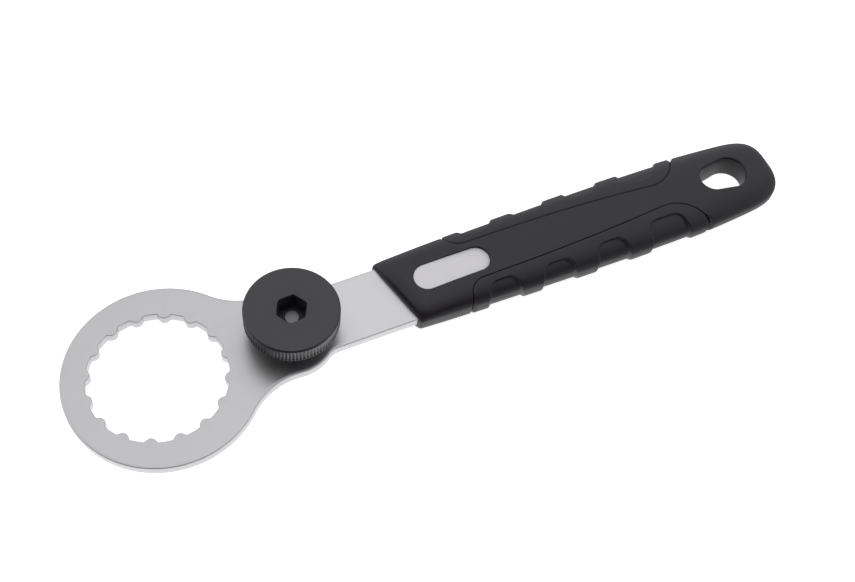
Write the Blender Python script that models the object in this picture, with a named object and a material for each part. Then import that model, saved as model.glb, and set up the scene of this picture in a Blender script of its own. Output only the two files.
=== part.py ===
"""Ring wrench for external bottom bracket cups, with a moulded handle and the cap key that parks on its shank."""

import math

import bmesh
import bpy
import numpy as np

# Driving dimensions, in metres. The drawing's zero is the ring's centre, in the middle of
# the plate's thickness, with +X along the handle and +Z out of the face that holds the key.
CLEARANCE = 0.0003

# Steel blank
PLATE_THICKNESS = 0.0037
EDGE_ROLL_WIDTH = 0.0008
EDGE_ROLL_DEPTH = 0.0003
BURR_CHAMFER = 0.0002
NOTCH_COUNT = 16
NOTCH_ROOT_RADIUS = 0.0221
TOOTH_HEIGHT = 0.00135
TOOTH_BASE_WIDTH = 0.0048
TOOTH_BLUNTNESS = 1.25
RING_OUTER_RADIUS = 0.0312
RING_OFFSET = 0.0017
NECK_FILLET = 0.022
SHANK_WIDTH = 0.0229
SHANK_FILLET = 0.006
PAD_X = 0.0434
PAD_MARGIN = 0.0002
TANG_WIDTH = 0.016
TANG_SHOULDER = 0.0145
TANG_FILLET = 0.0016
TANG_END_WALL = 0.011

# Cap key
KEY_X = 0.0445
KEY_DISC_RADIUS = 0.0153
KEY_DISC_THICKNESS = 0.0063
KEY_BOSS_HEIGHT = 0.007
KEY_BOSS_RADIUS = 0.0078
KEY_SPLINE_COUNT = 8
KEY_SPLINE_DEPTH = 0.0007
KEY_CHAMFER = 0.0005
KNURL_COUNT = 96
KNURL_DEPTH = 0.00035
HEX_ACROSS_FLATS = 0.0082
HEX_DEPTH = 0.0052
HEX_LEAD_IN = 0.0004
MAGNET_RADIUS = 0.0024

# Handle
MOUTH_X = 0.0804
MOUTH_SLANT = math.radians(15.5)
HANDLE_LENGTH = 0.1492
HANDLE_WIDTH = 0.031
HANDLE_THICKNESS = 0.0156
UNDERSIDE_FLAT = 0.0003
MOUTH_ROUND = 0.0008
END_ROUND_LENGTH = 0.0191
HOLE_FROM_END = 0.0179
HOLE_BIG_RADIUS = 0.00645
HOLE_SMALL_RADIUS = 0.0053
HOLE_SPREAD = 0.0073
HOLE_LEAN = 0.0008
HOLE_RIM = 0.0005

# Soft grips, one on each side
GRIP_FRONT = 0.0228
GRIP_FRONT_FILLET = 0.005
GRIP_LINE_FRONT = 0.0079
GRIP_LINE_REAR = 0.005
GRIP_REAR_FILLET = 0.012
GRIP_REAR_ANGLE = math.radians(42)
GRIP_THICKNESS = 0.002
GRIP_PROUD = 0.0001
RECESS_DEPTH = 0.0008
RECESS_INNER = 0.0097
RECESS_CORNER = 0.003
RECESS_FLARE = 0.0007

# Shares of the handle's length: where the grips end, and each finger recess's middle and width
GRIP_REAR_SHARE = 0.6721
FINGER_RECESS_SHARES = ((0.2386, 0.0814), (0.3780, 0.0868), (0.5194, 0.0898), (0.6739, 0.1119))

# Label
LABEL_FROM_MOUTH = 0.0204
LABEL_LENGTH = 0.0273
LABEL_WIDTH = 0.0088
LABEL_THICKNESS = 0.0006

# The handle's shape between its mouth (0) and its end (1): share of the full width, shares
# of half the full thickness above and below the blank's middle, and squareness of the
# section, where 2 is an ellipse. The underside tapers more than the upper face does.
HANDLE_SECTIONS = (
    (0.00, 0.844, 0.69, 0.720, 3.8),
    (0.10, 0.887, 0.87, 0.785, 3.4),
    (0.33, 0.953, 0.98, 0.857, 3.1),
    (0.60, 1.000, 1.00, 0.776, 3.0),
    (0.77, 0.985, 0.96, 0.672, 3.0),
    (1.00, 0.861, 0.84, 0.400, 3.2),
)

# How square the closed end is, seen from above and from the side
END_PLAN_POWER = 4.1
END_SIDE_POWER = 6.0

# Mesh fineness
ARC_STEP = math.radians(9)
SECTION_POINTS = 36
STATION_STEP = 0.005
END_STATIONS = 7
TOOTH_POINTS = 8
GAP_POINTS = 4
BEYOND = 0.002


def material(name, color, roughness, metallic=0.0):
    made = bpy.data.materials.new(name)
    made.use_nodes = True
    shader = made.node_tree.nodes["Principled BSDF"]
    shader.inputs["Base Color"].default_value = (*color, 1.0)
    shader.inputs["Roughness"].default_value = roughness
    shader.inputs["Metallic"].default_value = metallic
    made.diffuse_color = (*color, 1.0)
    return made


def arc(center, radius, start, end):
    """Points along an arc from the start angle to the end angle, both included."""
    steps = max(2, math.ceil(abs(end - start) / ARC_STEP))
    angles = np.linspace(start, end, steps + 1)
    return np.column_stack((center[0] + radius * np.cos(angles), center[1] + radius * np.sin(angles)))


def offset_outline(outline, distance):
    """Moves each point of a closed counter-clockwise outline outwards by the distance."""
    ahead = np.roll(outline, -1, axis=0) - outline
    behind = outline - np.roll(outline, 1, axis=0)
    ahead /= np.linalg.norm(ahead, axis=1, keepdims=True)
    behind /= np.linalg.norm(behind, axis=1, keepdims=True)
    tangent = ahead + behind
    tangent /= np.linalg.norm(tangent, axis=1, keepdims=True)
    normal = np.column_stack((tangent[:, 1], -tangent[:, 0]))
    spread = np.clip(np.einsum("ij,ij->i", tangent, ahead), 0.5, 1.0)
    return outline + normal * (distance / spread)[:, None]


def new_object(name, vertices, faces, finish=None):
    mesh = bpy.data.meshes.new(name)
    mesh.from_pydata([tuple(point) for point in vertices], [], faces)
    made = bpy.data.objects.new(name, mesh)
    bpy.context.scene.collection.objects.link(made)
    shell = bmesh.new()
    shell.from_mesh(mesh)
    bmesh.ops.recalc_face_normals(shell, faces=shell.faces)
    shell.to_mesh(mesh)
    shell.free()
    if finish:
        mesh.materials.append(finish)
    return made


def stack(name, loops, finish=None):
    """A closed solid through rings of points, one above another, with flat ends."""
    count = len(loops[0])
    vertices = np.vstack(loops)
    faces = [tuple(range(count))[::-1]]
    for level in range(len(loops) - 1):
        low, high = level * count, (level + 1) * count
        for i in range(count):
            j = (i + 1) % count
            faces.append((low + i, low + j, high + j, high + i))
    faces.append(tuple(range((len(loops) - 1) * count, len(loops) * count)))
    return new_object(name, vertices, faces, finish)


def at_height(outline, z):
    return np.column_stack((outline, np.full(len(outline), z)))


def prism(name, outline, bottom, top, finish=None):
    return stack(name, [at_height(outline, bottom), at_height(outline, top)], finish)


def combine(target, tool, operation):
    """Applies a Boolean to the target's mesh and removes the tool."""
    modifier = target.modifiers.new(operation.title(), "BOOLEAN")
    modifier.operation = operation
    modifier.object = tool
    graph = bpy.context.evaluated_depsgraph_get()
    result = bpy.data.meshes.new_from_object(target.evaluated_get(graph))
    target.modifiers.clear()
    target.data = result
    bpy.data.objects.remove(tool)
    return target


def shade(made, angle=30):
    made.data.shade_smooth()
    made.data.set_sharp_from_angle(angle=math.radians(angle))
    return made


def blend_fillet(center_a, radius_a, center_b, radius_b, fillet):
    """Centre of the arc that runs between two circles on the +Y side and touches both from outside."""
    reach_a = radius_a + fillet
    reach_b = radius_b + fillet
    apart = center_b - center_a
    along = (reach_a**2 - reach_b**2 + apart**2) / (2 * apart)
    return center_a + along, math.sqrt(reach_a**2 - along**2)


def tang_end_x():
    return MOUTH_X + HANDLE_LENGTH - HOLE_FROM_END - HOLE_SPREAD - HOLE_SMALL_RADIUS - TANG_END_WALL


def blank_outline(grow=0.0):
    """The blank's outline, counter-clockwise: ring, neck, pad, shank and tang, all mirrored about the axis."""
    pad_radius = KEY_DISC_RADIUS + PAD_MARGIN
    half_shank = SHANK_WIDTH / 2 + grow
    half_tang = TANG_WIDTH / 2 + grow
    shoulder = MOUTH_X + TANG_SHOULDER + grow
    tang_end = tang_end_x() + grow
    step_fillet = min(TANG_FILLET, (SHANK_WIDTH - TANG_WIDTH) / 4)
    neck_x, neck_y = blend_fillet(RING_OFFSET, RING_OUTER_RADIUS, PAD_X, pad_radius, NECK_FILLET)
    throat_y = SHANK_WIDTH / 2 + SHANK_FILLET
    throat_x = PAD_X + math.sqrt((pad_radius + SHANK_FILLET) ** 2 - throat_y**2)
    ring_leave = math.atan2(neck_y, neck_x - RING_OFFSET)
    pad_enter = math.atan2(neck_y, neck_x - PAD_X)
    pad_leave = math.atan2(throat_y, throat_x - PAD_X)
    upper = np.vstack(
        (
            arc((tang_end - half_tang, 0), half_tang, 0, math.pi / 2),
            arc(
                (shoulder + step_fillet - grow, half_tang + step_fillet - grow),
                step_fillet - grow,
                -math.pi / 2,
                -math.pi,
            ),
            arc(
                (shoulder - step_fillet - grow, half_shank - step_fillet - grow),
                step_fillet + grow,
                0,
                math.pi / 2,
            ),
            arc((throat_x, throat_y), SHANK_FILLET - grow, -math.pi / 2, pad_leave - math.pi),
            arc((PAD_X, 0), pad_radius + grow, pad_leave, pad_enter)[1:-1],
            arc((neck_x, neck_y), NECK_FILLET - grow, pad_enter - math.pi, ring_leave - math.pi),
            arc((RING_OFFSET, 0), RING_OUTER_RADIUS + grow, ring_leave, math.pi)[1:],
        )
    )
    lower = upper[-2:0:-1] * (1, -1)
    return np.vstack((upper, lower))


def notch_outline():
    """The hole's edge: the notches' root circle with a rounded tooth between each pair, one of them on the axis."""
    pitch = 2 * math.pi / NOTCH_COUNT
    half_base = TOOTH_BASE_WIDTH / 2 / NOTCH_ROOT_RADIUS
    across_tooth = np.linspace(-1, 1, TOOTH_POINTS + 1)
    tooth_angles = across_tooth * half_base
    tooth_radii = NOTCH_ROOT_RADIUS - TOOTH_HEIGHT * (1 - across_tooth**2) ** TOOTH_BLUNTNESS
    gap_angles = np.linspace(half_base, pitch - half_base, GAP_POINTS + 1)[1:-1]
    gap_radii = np.full(len(gap_angles), NOTCH_ROOT_RADIUS)
    angles = np.concatenate([np.concatenate((tooth_angles, gap_angles)) + k * pitch for k in range(NOTCH_COUNT)])
    radii = np.tile(np.concatenate((tooth_radii, gap_radii)), NOTCH_COUNT)
    return np.column_stack((radii * np.cos(angles), radii * np.sin(angles)))


def make_wrench_plate(finish):
    """Blanking rolls the upper edges over a little and leaves a small chamfer below."""
    top = PLATE_THICKNESS / 2
    outer = blank_outline()
    plate = stack(
        "wrench_plate",
        [
            at_height(offset_outline(outer, -BURR_CHAMFER), -top),
            at_height(outer, -top + BURR_CHAMFER),
            at_height(outer, top - EDGE_ROLL_DEPTH),
            at_height(offset_outline(outer, -EDGE_ROLL_WIDTH * 0.3), top - EDGE_ROLL_DEPTH * 0.3),
            at_height(offset_outline(outer, -EDGE_ROLL_WIDTH), top),
        ],
        finish,
    )
    inner = notch_outline()
    notches = stack(
        "notches",
        [
            at_height(offset_outline(inner, BURR_CHAMFER), -top - BURR_CHAMFER),
            at_height(inner, -top + BURR_CHAMFER),
            at_height(inner, top - EDGE_ROLL_DEPTH),
            at_height(offset_outline(inner, EDGE_ROLL_DEPTH * 2), top + EDGE_ROLL_DEPTH),
        ],
    )
    return shade(combine(plate, notches, "DIFFERENCE"))


def circle(radius, count):
    angles = np.arange(count) * 2 * math.pi / count
    return np.column_stack((radius * np.cos(angles), radius * np.sin(angles)))


def hexagon(across_flats):
    return circle(across_flats / math.sqrt(3), 6)


def make_cap_tool(finish):
    """The key stands on its splined boss. Its disc is knurled between two plain rims, each with a chamfer."""
    bottom = PLATE_THICKNESS / 2 + CLEARANCE
    underside = bottom + KEY_BOSS_HEIGHT
    top = underside + KEY_DISC_THICKNESS
    count = KNURL_COUNT * 2
    rim = circle(KEY_DISC_RADIUS, count)
    waves = np.where(np.arange(count) % 2 == 0, KEY_DISC_RADIUS, KEY_DISC_RADIUS - KNURL_DEPTH)
    knurled = rim * (waves / KEY_DISC_RADIUS)[:, None]
    edge = circle(KEY_DISC_RADIUS - KEY_CHAMFER, count)
    key = stack(
        "cap_tool",
        [
            at_height(edge, underside),
            at_height(rim, underside + KEY_CHAMFER),
            at_height(knurled, underside + KEY_CHAMFER + KNURL_DEPTH),
            at_height(knurled, top - KEY_CHAMFER - KNURL_DEPTH),
            at_height(rim, top - KEY_CHAMFER),
            at_height(edge, top),
        ],
        finish,
    )
    spline_angles = np.arange(KEY_SPLINE_COUNT * 8) * 2 * math.pi / (KEY_SPLINE_COUNT * 8)
    spline_radii = KEY_BOSS_RADIUS - KEY_SPLINE_DEPTH * (0.5 - 0.5 * np.cos(KEY_SPLINE_COUNT * spline_angles))
    spline = np.column_stack((spline_radii * np.cos(spline_angles), spline_radii * np.sin(spline_angles)))
    boss = stack(
        "boss",
        [
            at_height(offset_outline(spline, -KEY_CHAMFER), bottom),
            at_height(spline, bottom + KEY_CHAMFER),
            at_height(spline, underside + KEY_DISC_THICKNESS / 4),
        ],
    )
    combine(key, boss, "UNION")
    socket_floor = top - HEX_DEPTH
    socket = stack(
        "socket",
        [
            at_height(hexagon(HEX_ACROSS_FLATS), socket_floor),
            at_height(hexagon(HEX_ACROSS_FLATS), top - HEX_LEAD_IN),
            at_height(hexagon(HEX_ACROSS_FLATS + 4 * HEX_LEAD_IN), top + HEX_LEAD_IN),
        ],
    )
    combine(key, socket, "DIFFERENCE")
    bore = prism("bore", circle(MAGNET_RADIUS + CLEARANCE, 32), bottom - BEYOND, socket_floor + BEYOND)
    combine(key, bore, "DIFFERENCE")
    key.location = (KEY_X, 0, 0)
    return shade(key)


def make_cap_magnet(finish):
    """A rod magnet through the boss, flush with the socket's floor, that grips the steel below."""
    bottom = PLATE_THICKNESS / 2 + CLEARANCE
    top = bottom + KEY_BOSS_HEIGHT + KEY_DISC_THICKNESS - HEX_DEPTH
    round_edge = CLEARANCE
    magnet = stack(
        "cap_magnet",
        [
            at_height(circle(MAGNET_RADIUS - round_edge, 28), bottom),
            at_height(circle(MAGNET_RADIUS, 28), bottom + round_edge),
            at_height(circle(MAGNET_RADIUS, 28), top - round_edge),
            at_height(circle(MAGNET_RADIUS - round_edge, 28), top),
        ],
        finish,
    )
    magnet.location = (KEY_X, 0, 0)
    return shade(magnet)


def section_shares(along):
    """Width and thickness shares and squareness at a place from 0 to 1, on a smooth curve through the sections."""
    table = np.array(HANDLE_SECTIONS)
    places, values = table[:, 0], table[:, 1:]
    slopes = np.gradient(values, places, axis=0)
    index = int(np.clip(np.searchsorted(places, along) - 1, 0, len(places) - 2))
    span = places[index + 1] - places[index]
    t = (along - places[index]) / span
    return (
        (2 * t**3 - 3 * t**2 + 1) * values[index]
        + (t**3 - 2 * t**2 + t) * span * slopes[index]
        + (3 * t**2 - 2 * t**3) * values[index + 1]
        + (t**3 - t**2) * span * slopes[index + 1]
    )


def handle_half_sizes(x):
    """Half width, heights above and below the blank's middle, and squareness at x, closed to a rounded end."""
    along = min(max((x - MOUTH_X) / HANDLE_LENGTH, 0.0), 1.0)
    width_share, upper_share, lower_share, squareness = section_shares(along)
    into_end = max(0.0, (x - MOUTH_X - HANDLE_LENGTH + END_ROUND_LENGTH) / END_ROUND_LENGTH)
    plan = max(1e-9, 1 - min(into_end, 1.0) ** END_PLAN_POWER) ** (1 / END_PLAN_POWER)
    side = max(1e-9, 1 - min(into_end, 1.0) ** END_SIDE_POWER) ** (1 / END_SIDE_POWER)
    return (
        HANDLE_WIDTH / 2 * width_share * plan,
        HANDLE_THICKNESS / 2 * upper_share * side,
        HANDLE_THICKNESS / 2 * lower_share * side,
        squareness,
    )


def handle_ring(x, inset=0.0, slanted=True):
    """One section of the handle, a rounded rectangle, set back by the inset and slanted like the mouth near it.

    A narrow strip along the underside is flat, so that the tool lies without rocking.
    """
    half_width, upper, lower, squareness = handle_half_sizes(x)
    angles = (np.arange(SECTION_POINTS) + 0.5) * 2 * math.pi / SECTION_POINTS
    power = 2 / squareness
    y = (half_width - inset) * np.sign(np.cos(angles)) * np.abs(np.cos(angles)) ** power
    reach = np.where(np.sin(angles) > 0, upper, lower) - inset
    z = reach * np.sign(np.sin(angles)) * np.abs(np.sin(angles)) ** power
    z = np.maximum(z, -(lower - inset - UNDERSIDE_FLAT))
    fade = max(0.0, 1 - (x - MOUTH_X) / GRIP_FRONT) ** 2 if slanted else 0.0
    shift = -math.tan(MOUTH_SLANT) * fade * y
    return np.column_stack((x + shift, y, z))


def handle_surface_height(x, y, face=1):
    """Distance from the blank's middle to the handle's upper face (1) or lower face (-1), over a point inside it."""
    half_width, upper, lower, squareness = handle_half_sizes(x)
    share = (1 - min(abs(y) / half_width, 1.0) ** squareness) ** (1 / squareness)
    return upper * share if face > 0 else min(lower * share, lower - UNDERSIDE_FLAT)


def belly_depth():
    """The handle's lowest reach below the blank's middle, which is what the tool lies on."""
    places = np.linspace(MOUTH_X, MOUTH_X + HANDLE_LENGTH - END_ROUND_LENGTH, 120)
    return max(handle_half_sizes(x)[2] for x in places) + GRIP_PROUD - UNDERSIDE_FLAT


def make_handle_shell(name, inset=0.0, finish=None):
    """The whole handle's outer form, from its slanted mouth to its rounded end."""
    body_end = MOUTH_X + HANDLE_LENGTH - END_ROUND_LENGTH
    steps = math.ceil((body_end - MOUTH_X - MOUTH_ROUND) / STATION_STEP)
    places = list(np.linspace(MOUTH_X + MOUTH_ROUND, body_end, steps + 1))
    places += [body_end + END_ROUND_LENGTH * math.sin(k * math.pi / 2 / END_STATIONS) for k in range(1, END_STATIONS)]
    places.append(MOUTH_X + HANDLE_LENGTH - END_ROUND_LENGTH * 0.002)
    rings = [handle_ring(MOUTH_X, inset + MOUTH_ROUND), handle_ring(MOUTH_X + MOUTH_ROUND * 0.3, inset + MOUTH_ROUND * 0.3)]
    rings += [handle_ring(x, inset) for x in places]
    return stack(name, rings, finish)


def make_handle_core(name, inset):
    """The handle's form set back by the inset, along the grips' stretch and a little past it."""
    start = MOUTH_X + GRIP_FRONT - BEYOND
    end = MOUTH_X + HANDLE_LENGTH - END_ROUND_LENGTH
    steps = math.ceil((end - start) / STATION_STEP)
    return stack(name, [handle_ring(x, inset) for x in np.linspace(start, end, steps + 1)])


def grip_outline(grow=0.0):
    """The left grip seen from above, counter-clockwise. Its inner edge leans, and both ends are filleted to the side."""
    front = MOUTH_X + GRIP_FRONT - grow
    rear = MOUTH_X + GRIP_REAR_SHARE * HANDLE_LENGTH
    far = HANDLE_WIDTH / 2 + BEYOND
    front_fillet = GRIP_FRONT_FILLET + grow
    rear_fillet = GRIP_REAR_FILLET + grow
    lean = math.atan2(GRIP_LINE_REAR - GRIP_LINE_FRONT, rear - front - front_fillet)
    front_center = (front + front_fillet, GRIP_LINE_FRONT - grow + front_fillet)
    rear_center = (rear, GRIP_LINE_REAR - grow + rear_fillet)
    front_arc = arc(front_center, front_fillet, math.pi, 1.5 * math.pi + lean)
    rear_arc = arc(rear_center, rear_fillet, 1.5 * math.pi + lean, 1.5 * math.pi + GRIP_REAR_ANGLE)
    rise = far - rear_arc[-1][1]
    rear_corner = (rear_arc[-1][0] + rise / math.tan(GRIP_REAR_ANGLE), far)
    return np.vstack((front_arc, rear_arc, [rear_corner, (front, far)]))


def recess_outline(center, width):
    """One finger recess seen from above: open to the side, with rounded inner corners."""
    left = MOUTH_X + center - width / 2
    right = MOUTH_X + center + width / 2
    far = HANDLE_WIDTH / 2 + 2 * BEYOND
    corner_y = RECESS_INNER + RECESS_CORNER
    return np.vstack(
        (
            arc((left + RECESS_CORNER, corner_y), RECESS_CORNER, math.pi, 1.5 * math.pi),
            arc((right - RECESS_CORNER, corner_y), RECESS_CORNER, 1.5 * math.pi, 2 * math.pi),
            [(right + RECESS_FLARE, far), (left - RECESS_FLARE / 2, far)],
        )
    )


def mirrored(outline):
    return outline[::-1] * (1, -1)


def make_grip(name, side, finish):
    """One grip: the handle's form inside the grip's outline, hollowed to fit the body's core, with finger recesses."""
    reach = HANDLE_THICKNESS
    turn = (lambda outline: outline) if side > 0 else mirrored
    grip = make_handle_shell(name, -GRIP_PROUD, finish)
    combine(grip, prism("grip_limit", turn(grip_outline()), -reach, reach), "INTERSECT")
    combine(grip, make_handle_core("grip_inside", GRIP_THICKNESS - CLEARANCE), "DIFFERENCE")
    for center_share, width_share in FINGER_RECESS_SHARES:
        outline = recess_outline(center_share * HANDLE_LENGTH, width_share * HANDLE_LENGTH)
        recess = prism("recess", turn(outline), -reach, reach)
        combine(recess, make_handle_core("recess_floor", RECESS_DEPTH - GRIP_PROUD), "DIFFERENCE")
        combine(grip, recess, "DIFFERENCE")
    return shade(grip)


def hanging_hole_outline(grow=0.0):
    """A teardrop slot: a small round end towards the ring and a large one towards the handle's end."""
    big_x = MOUTH_X + HANDLE_LENGTH - HOLE_FROM_END
    small_x = big_x - HOLE_SPREAD
    touch = math.acos((HOLE_BIG_RADIUS - HOLE_SMALL_RADIUS) / HOLE_SPREAD)
    big = arc((big_x, 0), HOLE_BIG_RADIUS + grow, touch - math.pi, math.pi - touch)
    small = arc((small_x, 0), HOLE_SMALL_RADIUS + grow, math.pi - touch, math.pi + touch)
    return np.vstack((big, small))


def make_hanging_hole():
    """The hole's cutter, flared where it meets the curved faces so that its rim is rounded all the way.

    Its lower mouth lies a little nearer the handle's end than its upper one.
    """
    levels = ((2 * HOLE_RIM, HOLE_RIM), (HOLE_RIM * 0.3, -HOLE_RIM * 0.3), (0.0, -HOLE_RIM))
    loops = []
    for face in (-1, 1):
        rows = []
        for grow, depth in levels:
            lean = (HOLE_LEAN, 0) if face < 0 else (0, 0)
            outline = hanging_hole_outline(grow) + lean
            plain = hanging_hole_outline() + lean
            heights = np.array([handle_surface_height(x, y, face) for x, y in plain]) + depth
            rows.append(np.column_stack((outline, face * heights)))
        loops += rows if face < 0 else rows[::-1]
    return stack("hanging_hole", loops)


def label_outline(grow=0.0):
    radius = LABEL_WIDTH / 2 + grow
    front = MOUTH_X + LABEL_FROM_MOUTH - (LABEL_LENGTH - LABEL_WIDTH) / 2
    rear = MOUTH_X + LABEL_FROM_MOUTH + (LABEL_LENGTH - LABEL_WIDTH) / 2
    return np.vstack(
        (
            arc((rear, 0), radius, -math.pi / 2, math.pi / 2),
            arc((front, 0), radius, math.pi / 2, 1.5 * math.pi),
        )
    )


def make_label(finish):
    """The label follows the handle's face and lies flush in its pocket."""
    label = make_handle_shell("label_plate", 0.0, finish)
    combine(label, prism("label_limit", label_outline(), 0.0, HANDLE_THICKNESS), "INTERSECT")
    combine(label, make_handle_shell("label_back", LABEL_THICKNESS), "DIFFERENCE")
    return shade(label)


def make_handle_body(finish):
    """The moulding, with its pockets for the tang, the grips and the label, and the hanging hole."""
    reach = HANDLE_THICKNESS
    body = make_handle_shell("handle_body", 0.0, finish)
    for turn in (lambda outline: outline, mirrored):
        pocket = prism("grip_pocket", turn(grip_outline(CLEARANCE)), -reach, reach)
        combine(pocket, make_handle_core("pocket_floor", GRIP_THICKNESS), "DIFFERENCE")
        combine(body, pocket, "DIFFERENCE")
    half_slot = PLATE_THICKNESS / 2 + CLEARANCE
    combine(body, prism("tang_slot", blank_outline(CLEARANCE), -half_slot, half_slot), "DIFFERENCE")
    combine(body, make_hanging_hole(), "DIFFERENCE")
    label_pocket = prism("label_pocket", label_outline(CLEARANCE), 0.0, reach)
    combine(label_pocket, make_handle_shell("label_floor", LABEL_THICKNESS + CLEARANCE), "DIFFERENCE")
    combine(body, label_pocket, "DIFFERENCE")
    return shade(body)


def main():
    for leftover in list(bpy.data.objects):
        bpy.data.objects.remove(leftover)
    steel = material("satin_chromed_steel", (0.52, 0.52, 0.53), 0.38, 1.0)
    black_alloy = material("black_anodised_alloy", (0.035, 0.034, 0.037), 0.5, 0.2)
    magnet_metal = material("nickel_plated_magnet", (0.32, 0.32, 0.32), 0.45, 1.0)
    hard_plastic = material("black_moulded_plastic", (0.028, 0.027, 0.029), 0.5)
    soft_plastic = material("soft_grip_rubber", (0.03, 0.029, 0.031), 0.62)
    pale_plastic = material("pale_grey_inlay", (0.58, 0.58, 0.6), 0.4)
    pieces = [
        make_wrench_plate(steel),
        make_cap_tool(black_alloy),
        make_cap_magnet(magnet_metal),
        make_handle_body(hard_plastic),
        make_grip("grip_left", 1, soft_plastic),
        make_grip("grip_right", -1, soft_plastic),
        make_label(pale_plastic),
    ]
    # The part's origin is below the middle of its length, on the plane its handle lies on.
    tool_frame = bpy.data.objects.new("tool_frame", None)
    bpy.context.scene.collection.objects.link(tool_frame)
    ring_end = RING_OFFSET - RING_OUTER_RADIUS
    handle_end = MOUTH_X + HANDLE_LENGTH
    tool_frame.location = (-(ring_end + handle_end) / 2, 0, belly_depth())
    for piece in pieces:
        piece.parent = tool_frame


main()
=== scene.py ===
import math

import bmesh
import bpy
import numpy as np
from mathutils import Matrix, Vector


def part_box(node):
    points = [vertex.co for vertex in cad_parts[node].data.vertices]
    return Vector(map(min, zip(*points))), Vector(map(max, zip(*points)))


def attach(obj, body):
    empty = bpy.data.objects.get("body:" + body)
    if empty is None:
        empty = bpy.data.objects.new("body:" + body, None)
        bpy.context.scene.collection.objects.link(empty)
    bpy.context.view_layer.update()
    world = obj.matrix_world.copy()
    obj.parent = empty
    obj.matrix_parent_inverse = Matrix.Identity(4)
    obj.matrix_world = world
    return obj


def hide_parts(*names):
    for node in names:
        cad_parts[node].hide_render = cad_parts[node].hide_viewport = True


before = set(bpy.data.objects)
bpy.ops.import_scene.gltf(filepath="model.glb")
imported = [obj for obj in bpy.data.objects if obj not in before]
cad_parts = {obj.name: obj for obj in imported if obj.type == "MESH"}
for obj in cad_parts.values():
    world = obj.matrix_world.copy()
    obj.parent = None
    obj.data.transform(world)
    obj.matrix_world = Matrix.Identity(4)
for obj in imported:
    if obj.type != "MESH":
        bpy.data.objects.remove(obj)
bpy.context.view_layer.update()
print("frame loaded:", ", ".join(sorted(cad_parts)))

mm = 0.001


# Shape tools that several pieces share. A loop is an array of (x, y) rows that runs counter-clockwise.


def arcPoints(center, radius, start, end, step=math.radians(2.5)):
    # points at even angles along a circle's arc, both ends included
    count = max(2, math.ceil(abs(end - start) / step))
    angles = np.linspace(start, end, count + 1)
    return np.asarray(center) + radius * np.column_stack((np.cos(angles), np.sin(angles)))


def offsetLoop(loop, distance):
    # each point of a counter-clockwise loop moves along its outward normal, its tangent turned by 90 degrees
    ahead = np.roll(loop, -1, axis=0) - loop
    behind = loop - np.roll(loop, 1, axis=0)
    ahead /= np.linalg.norm(ahead, axis=1, keepdims=True)
    behind /= np.linalg.norm(behind, axis=1, keepdims=True)
    tangent = ahead + behind
    tangent /= np.linalg.norm(tangent, axis=1, keepdims=True)
    normal = np.column_stack((tangent[:, 1], -tangent[:, 0]))
    spread = np.clip(np.einsum("ij,ij->i", tangent, ahead), 0.5, 1.0)
    return loop + normal * (distance / spread)[:, None]


def insideDistance(points, loop):
    # distance from each point to the nearest side of a closed loop, positive inside and negative outside
    run = np.roll(loop, -1, axis=0) - loop
    gap = points[:, None] - loop
    cloudAndPaintedLight = np.clip((gap * run).sum(-1) / (run**2).sum(-1), 0, 1)
    distance = np.linalg.norm(gap - cloudAndPaintedLight[..., None] * run, axis=-1).min(axis=1)
    level = points[:, None, 1]
    crosses = (loop[:, 1] > level) != ((loop + run)[:, 1] > level)
    rise = np.where(run[:, 1] == 0, 1, run[:, 1])
    at = loop[:, 0] + (level - loop[:, 1]) * run[:, 0] / rise
    inside = (crosses & (points[:, None, 0] < at)).sum(axis=1) % 2 == 1
    return np.where(inside, distance, -distance)


def gridFaces(rows, columns, closeRows=False, closeColumns=False):
    # quads between neighbours of a grid whose points are numbered row by row
    r, c = np.meshgrid(
        np.arange(rows if closeRows else rows - 1),
        np.arange(columns if closeColumns else columns - 1),
        indexing="ij",
    )
    nextR, nextC = (r + 1) % rows, (c + 1) % columns
    corners = (r * columns + c, r * columns + nextC, nextR * columns + nextC, nextR * columns + c)
    return np.stack(corners, axis=-1).reshape(-1, 4)


def makePiece(name, points, quads, caps=(), mergeDistance=0.0):
    # one closed mesh from an array of points, an array of quads and any flat end faces
    mesh = bpy.data.meshes.new(name)
    faces = quads.tolist() + [list(cap) for cap in caps]
    mesh.from_pydata(np.asarray(points).reshape(-1, 3).tolist(), [], faces)
    piece = bpy.data.objects.new(name, mesh)
    bpy.context.scene.collection.objects.link(piece)
    shell = bmesh.new()
    shell.from_mesh(mesh)
    if mergeDistance:
        bmesh.ops.remove_doubles(shell, verts=shell.verts, dist=mergeDistance)
    bmesh.ops.recalc_face_normals(shell, faces=shell.faces)
    shell.to_mesh(mesh)
    shell.free()
    return piece


def stackLoops(name, loops):
    # a closed solid through loops of points with as many points each, and a flat face at both ends
    count = len(loops[0])
    caps = (range(count), range((len(loops) - 1) * count, len(loops) * count))
    return makePiece(name, np.stack(loops), gridFaces(len(loops), count, closeColumns=True), caps)


def atHeight(loop, z):
    # a loop in plan, lifted to one height for all its points or to one height for each
    return np.column_stack((loop, np.broadcast_to(z, len(loop))))


def cutAway(piece, cutter):
    # takes the cutter's solid out of the piece, then removes the cutter
    modifier = piece.modifiers.new("cut", "BOOLEAN")
    modifier.operation = "DIFFERENCE"
    modifier.solver = "EXACT"
    modifier.object = cutter
    graph = bpy.context.evaluated_depsgraph_get()
    cutMesh = bpy.data.meshes.new_from_object(piece.evaluated_get(graph))
    piece.modifiers.clear()
    piece.data = cutMesh
    bpy.data.objects.remove(cutter)


def dress(piece, finish, slot, *nodes, sharpAngle=35):
    # smooth shading with sharp edges past the angle, its material, and the node it stands for
    piece.data.materials.clear()
    piece.data.materials.append(finish)
    piece.data.shade_smooth()
    piece.data.set_sharp_from_angle(angle=math.radians(sharpAngle))
    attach(piece, "root")
    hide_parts(*nodes)
    print(f"{piece.name}: {len(piece.data.polygons)} faces")


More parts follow.
